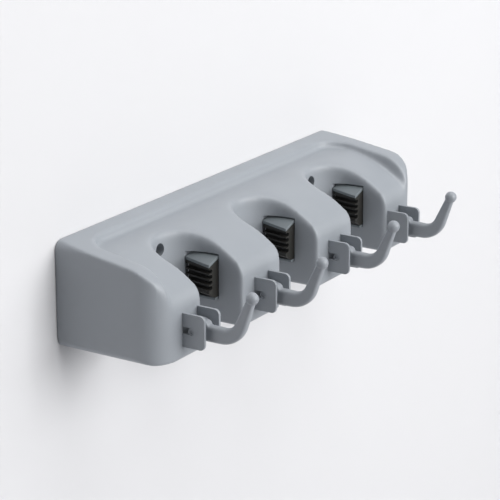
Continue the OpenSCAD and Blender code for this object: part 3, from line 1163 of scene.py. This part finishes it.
@dataclass
class Jaw:
    """One sprung jaw of a pair: rigid carrier, ribbed rubber pad, pivot pin and torsion spring."""

    carrier_finish: Material
    pad_finish: Material
    pin_finish: Material
    spring_finish: Material
    pivot: Vector
    span: Pair
    tip: Pair = (11.0, -7.4)
    wall_x: float = 20.0
    skew: float = 11.6
    plate_slope: float = 18.4
    plate_t: float = 1.8
    lip_t: float = 1.5
    lip_up: float = 0.75
    lip_x: float = 17.0
    web_t: float = 3.0
    knuckle_r: float = 3.0
    pin_r: float = 1.5
    pin_past: float = 3.0
    run_gap: float = 0.05
    bore_past: float = 1.0
    coil_room: Pair = (3.4, 9.04)
    edge: float = 0.35
    fine_edge: float = 0.3
    pin_edge: float = 0.4
    groove_r: float = 1.15
    groove_l: float = 1.8
    groove_count: int = 4
    first_groove: float = 2.24
    rib_pitch: float = 3.2
    chin_h: float = 3.5
    nose_in: float = 0.48
    wire_r: float = 0.45
    coil_r: float = 2.45
    coil_turns: float = 5.25
    coil_pitch: float = 1.36
    turn_steps: int = 24
    leg_l: float = 11.0
    foot_l: float = 5.0

    @property
    def web_left(self) -> float:
        """Distance of the web's slot side from the middle of the slot."""
        return self.pivot.x - self.web_t / 2

    @property
    def lip_top(self) -> float:
        """Height of the bottom lip's top."""
        return self.pivot.z + self.lip_up + self.lip_t

    @property
    def pad_top(self) -> float:
        """Height of the pad's top at its nose."""
        return self.tip[1] - self.plate_t

    def swing(self, piece: Object, top: float) -> Object:
        """Draw back the far side of a section's nose, so that a pair of jaws closes towards the front.

        Args:
            piece: The section, drawn straight.
            top: Nose points from this height up follow the plate's slope.

        Returns:
            The same piece.
        """
        back = (self.span[1] - self.span[0]) * math.tan(math.radians(self.skew))

        def far_nose(place: Vector) -> bool:
            """Pick the points of the nose at the jaw's back end."""
            return place.y > self.span[1] - HAIR and place.x < self.wall_x - NEAR

        nudge(piece, lambda p: far_nose(p) and p.z > top, (0, 0, self.rise(self.tip[0] + back)))
        return nudge(piece, far_nose, (back, 0, 0))

    def section(self, name: str, outline: Sequence[Pair]) -> Object:
        """Extrude an outline of distance and height over the jaw's width."""
        front, back = self.span
        return add_prism(name, [(x, front, z) for x, z in outline], (0, back - front, 0))

    def rise(self, x: float) -> float:
        """Return how far the plate has risen at a distance from the slot's middle, level past its wall."""
        return (min(x, self.wall_x) - self.tip[0]) * math.tan(math.radians(self.plate_slope))

    def carrier(self) -> Object:
        """Model the carrier: top plate, upright web, bottom lip and two knuckles.

        Returns:
            The carrier of a jaw on the right wall of the middle slot.
        """
        web_right = self.pivot.x + self.web_t / 2
        inside = self.web_left + self.web_t / 2
        x, z = self.tip
        line = [x, self.wall_x, inside]
        upper = [(p, z + self.rise(p)) for p in reversed(line)]
        under = [(p, self.pad_top + self.rise(p)) for p in line]
        plate = self.section("plate", upper + under)
        carrier = bevel_sharp(self.swing(plate, self.pad_top - NEAR), self.edge)
        front, back = self.span
        level = z + self.rise(inside)
        web = add_box("web", (self.web_left, front, self.pivot.z), (web_right, back, level))
        combine(carrier, bevel_sharp(web, self.edge), Join.UNION)
        lip_low = self.lip_top - self.lip_t
        lip = add_box("lip", (self.lip_x, front, lip_low), (self.pivot.x, back, self.lip_top))
        combine(carrier, bevel_sharp(lip, self.fine_edge), Join.UNION)
        combine(carrier, bevel_sharp(self.bar(front, back, self.knuckle_r), self.fine_edge), Join.UNION)
        room_r, room_l = self.coil_room
        middle = (front + back) / 2
        combine(carrier, self.bar(middle - room_l / 2, middle + room_l / 2, room_r), Join.DIFFERENCE)
        bore = self.bar(front - self.bore_past, back + self.bore_past, self.pin_r + self.run_gap)
        return combine(carrier, bore, Join.DIFFERENCE)

    def bar(self, front: float, back: float, radius: float) -> Object:
        """Add a round bar on the pivot between two depths."""
        x, _, z = self.pivot
        return add_drum("bar", (x, front, z), (x, back, z), radius)

    def pad(self) -> Object:
        """Model the rubber pad: a block with level ribs on its nose and a sloping chin.

        Returns:
            The pad of a jaw on the right wall of the middle slot.
        """
        nose = self.tip[0] + self.nose_in
        low = self.lip_top
        outline = [(self.web_left, low), (self.lip_x, low), (nose, low + self.chin_h)]
        for i in reversed(range(self.groove_count)):
            height = self.pad_top - self.first_groove - i * self.rib_pitch
            outline.append((nose, height - self.groove_r))
            outline += arc((nose + self.groove_l, height), self.groove_r, -90, 90, steps=10)
            outline.append((nose, height + self.groove_r))
        outline += [(x, self.pad_top + self.rise(x)) for x in (nose, self.wall_x, self.web_left)]
        pad = self.swing(self.section("pad", outline), self.pad_top)
        front, back = self.span
        room = self.bar(front - self.bore_past, back + self.bore_past, self.coil_room[0])
        return bevel_sharp(combine(pad, room, Join.DIFFERENCE), self.fine_edge)

    def pin(self) -> Object:
        """Model the pivot pin with its chamfered ends."""
        front, back = self.span
        bar = self.bar(front - self.pin_past, back + self.pin_past, self.pin_r)
        return bevel_sharp(bar, self.pin_edge, segments=1)

    def spring(self) -> Object:
        """Wind the torsion spring: a leg on the web, a coil round the pin and a foot on the slot's wall.

        Returns:
            The spring of a jaw on the right wall of the middle slot.
        """
        middle = sum(self.span) / 2
        start = middle - self.coil_turns * self.coil_pitch / 2
        steps = round(self.turn_steps * self.coil_turns)
        points = [Vector((self.coil_r, start, self.leg_l))]
        for i in range(steps + 1):
            turn = i / self.turn_steps
            angle = -math.tau * turn
            x, z = self.coil_r * math.cos(angle), self.coil_r * math.sin(angle)
            points.append(Vector((x, start + turn * self.coil_pitch, z)))
        end = start + self.coil_turns * self.coil_pitch
        foot_x = -self.knuckle_r + self.wire_r
        knee = arc((foot_x + self.wire_r, -self.coil_r - self.wire_r), self.wire_r, 90, 180, steps=4)
        points += [Vector((x, end, z)) for x, z in knee]
        points.append(Vector((foot_x, end, -self.coil_r - self.foot_l)))
        data = bpy.data.curves.new("spring", "CURVE")
        data.dimensions = "3D"
        data.bevel_depth = self.wire_r * MM
        data.bevel_resolution = 3
        data.use_fill_caps = True
        line = data.splines.new("POLY")
        line.points.add(len(points) - 1)
        hub = Vector((self.pivot.x, 0, self.pivot.z))
        for target, point in zip(line.points, points):
            target.co = (*((point + hub) * MM), 1)
        wire = bpy.data.objects.new("spring", data)
        bpy.context.scene.collection.objects.link(wire)
        pick(wire)
        bpy.ops.object.convert(target="MESH")
        return bpy.context.object

    def build(self, slots: Sequence[float]) -> list[Object]:
        """Model one jaw and copy it to both walls of each slot.

        Args:
            slots: Where the slots are along the rack.

        Returns:
            The pieces of all the jaws.
        """
        models = {
            "carrier": (self.carrier(), self.carrier_finish, "jaw_carrier"),
            "pad": (self.pad(), self.pad_finish, "jaw_pad"),
            "pin": (self.pin(), self.pin_finish, "pin"),
            "spring": (self.spring(), self.spring_finish, "spring"),
        }
        pieces = []
        for number, x in enumerate(slots, 1):
            for side in Side:
                jaw = f"jaw_{number}_{side.name.lower()}"
                for part, (model, finish, slot) in models.items():
                    piece = shade(copy_piece(model, f"sprung_{jaw}_{part}", x, side is Side.LEFT))
                    body = {"pin": "rack", "spring": None}.get(part, jaw)
                    pieces.append(dress(piece, finish, f"{jaw}_{part}", body))
                self.twist(pieces[-1])
        for model, _, _ in models.values():
            bpy.data.meshes.remove(model.data)
        return pieces

    def twist(self, spring: Object) -> None:
        """Put a spring's place into its mesh, so that it stays where it was wound.

        Args:
            spring: The spring.
        """
        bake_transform(spring)


@dataclass(frozen=True)
class Lamp:
    """One soft square lamp, with its place, side and target in metres."""

    name: str
    place: Point
    size: float
    watts: float
    target: Point = (0, -0.04, -0.01)

    def hang(self) -> None:
        """Add the lamp to the scene, facing its target."""
        data = bpy.data.lights.new(self.name, "AREA")
        data.size = self.size
        data.energy = self.watts
        lamp = bpy.data.objects.new(self.name, data)
        bpy.context.scene.collection.objects.link(lamp)
        lamp.location = self.place
        lamp.rotation_euler = (Vector(self.target) - Vector(self.place)).to_track_quat("-Z", "Y").to_euler()


@dataclass
class Studio:
    """Camera, wall, floor and soft light, in metres."""

    place: Point = (-0.9958, -0.6679, 0.3581)
    yaw: float = 57.463
    pitch: float = 17.754
    lens: float = 154.9
    wall_colour: str = "#D7D7D9"
    wall_size: float = 6.0
    wall_gap: float = 0.0005
    opening_edge: float = 0.004
    wall_roughness: float = 0.9
    floor_size: float = 24.0
    floor_z: float = -1.2
    sky_colour: str = "#F4F6FA"
    sky_strength: float = 0.03
    lamps: Sequence[Lamp] = (
        Lamp("overhead", (0.3, -0.75, 2.0), 1.8, 28),
        Lamp("front", (0.2, -2.6, 0.9), 1.8, 63),
        Lamp("side", (1.5, -2.2, 0.9), 1.6, 24),
        Lamp("behind", (0.5, 1.9, 0.8), 1.6, 30),
        Lamp("far_floor", (0, -6.5, 3.0), 3.0, 150, (0, -9, floor_z)),
    )

    def camera(self) -> Object:
        """Set up the camera at the photograph's place and angle.

        Returns:
            The camera.
        """
        data = bpy.data.cameras.new("camera")
        data.lens = self.lens
        camera = bpy.data.objects.new("camera", data)
        bpy.context.scene.collection.objects.link(camera)
        yaw, pitch = math.radians(self.yaw), math.radians(self.pitch)
        ahead = Vector((math.sin(yaw) * math.cos(pitch), math.cos(yaw) * math.cos(pitch), -math.sin(pitch)))
        camera.location = self.place
        camera.rotation_euler = ahead.to_track_quat("-Z", "Y").to_euler()
        bpy.context.scene.camera = camera
        return camera

    def backdrop(self) -> None:
        """Add the wall that the rack hangs on, clear from behind, and a floor below it."""
        # Matt wall paint: an even pale grey without gloss, so that only soft shadows show on it
        paint = bpy.data.materials.new("matt_wall_paint")
        paint.use_nodes = True
        tree = paint.node_tree
        shader = tree.nodes["Principled BSDF"]
        shader.inputs["Roughness"].default_value = self.wall_roughness
        shader.inputs["Base Color"].default_value = linear(self.wall_colour)
        behind = add_node(tree, "ShaderNodeNewGeometry").outputs["Backfacing"]
        clear = add_node(tree, "ShaderNodeBsdfTransparent").outputs[0]
        mix = add_node(tree, "ShaderNodeMixShader", {0: behind, 1: shader.outputs[0], 2: clear})
        tree.links.new(mix.outputs[0], tree.nodes["Material Output"].inputs["Surface"])
        clear_selection()
        bpy.ops.mesh.primitive_plane_add(size=self.floor_size, location=(0, 0, self.floor_z))
        floor = settle("floor")
        for sheet in (*self.wall(), floor):
            sheet.data.materials.append(paint)

    def wall(self) -> tuple[Object, Object]:
        """Add the wall, with a patch behind the rack that lets light from behind into its open back.

        Returns:
            The wall and the patch, each one face thick. The patch casts no shadow.
        """
        clear_selection()
        turn = (math.radians(90), 0, 0)
        bpy.ops.mesh.primitive_plane_add(size=self.wall_size, location=(0, self.wall_gap, 0), rotation=turn)
        wall = settle("wall")
        low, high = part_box("rack_shell")
        opening = (high - low) - 2 * Vector((self.opening_edge,) * 3)
        shrink = 2 / self.wall_size
        squeeze = (opening.x * shrink, 1, opening.z * shrink)
        with editing(wall, "FACE"):
            bpy.ops.mesh.inset(thickness=self.wall_size / 4)
            bpy.ops.transform.resize(value=squeeze, center_override=(0, self.wall_gap, 0))
            bpy.ops.transform.translate(value=(0, 0, (low.z + high.z) / 2))
            bpy.ops.mesh.separate(type="SELECTED")
        patch = next(item for item in bpy.context.selected_objects if item is not wall)
        patch.name = "wall_patch"
        patch.visible_shadow = False
        return wall, patch

    def light(self) -> None:
        """Hang the lamps: three in front, one for the open back and one for the floor, and a faint sky."""
        for lamp in self.lamps:
            lamp.hang()
        world = bpy.data.worlds.new("studio")
        bpy.context.scene.world = world
        world.use_nodes = True
        sky = world.node_tree.nodes["Background"]
        sky.inputs["Color"].default_value = linear(self.sky_colour)
        sky.inputs["Strength"].default_value = self.sky_strength


def main() -> None:
    """Build the rack's pieces in order, and its studio."""
    logging.basicConfig(level=logging.INFO, format="%(name)s: %(message)s")
    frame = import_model()
    bpy.context.scene.view_settings.view_transform = "Standard"
    studio = Studio()
    studio.camera()
    studio.backdrop()
    studio.light()
    # Moulded ABS from a spark-eroded tool: an even cool grey with a broad satin sheen and a faint grain. The
    # grain is drawn coarser than the real one, which would be too fine to show.
    abs_grey = MouldedPlastic("moulded_abs_grey", "#969BA1", "#91969C", 0.46).material()
    # The same ABS from a smoother tool: a shade darker, with a tighter sheen along the arms
    hook_grey = MouldedPlastic("moulded_abs_hook_grey", "#93989E", "#8E9399", 0.42).material()
    # Moulded polypropylene: a darker grey-green with a waxy, duller sheen
    jaw_grey = MouldedPlastic("moulded_polypropylene_grey", "#737A7E", "#6C7377", 0.5).material()
    # Moulded rubber: nearly black and slightly warm, so matt that only its edges catch light
    rubber = MouldedPlastic("moulded_rubber_black", "#24231F", "#1B1A17", 0.68, grain_mm=0.7).material()
    # Drawn steel rod: bright bare metal with fine lines along its length
    pin_steel = DrawnSteel("drawn_steel_rod", "#C9CBCC", 0.3).material()
    # Drawn spring wire: a greyer, smoother steel with sharp highlights along each coil
    wire_steel = DrawnSteel("drawn_spring_wire", "#B4B7B9", 0.25).material()
    joints = {j["name"]: Vector(j["pos_m"]) / MM for j in frame["joints"]}
    slots = [(joints[f"jaw_{n}_left_swing"].x + joints[f"jaw_{n}_right_swing"].x) / 2 for n in (1, 2, 3)]
    hooks = [joints[f"hook_{n}_fold"].x for n in (1, 2, 3, 4)]
    low, high = (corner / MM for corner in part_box("jaw_2_right_carrier"))
    pivot, trunnion = joints["jaw_2_right_swing"], joints["hook_1_fold"]
    RackShell(abs_grey, slots, hooks, pivot, trunnion, (low.y - JAW_ROOM, high.y + JAW_ROOM)).build()
    Hook(hook_grey, trunnion).build(hooks)
    Jaw(jaw_grey, rubber, pin_steel, wire_steel, pivot, (low.y, high.y)).build(slots)


if __name__ == "__main__":
    main()
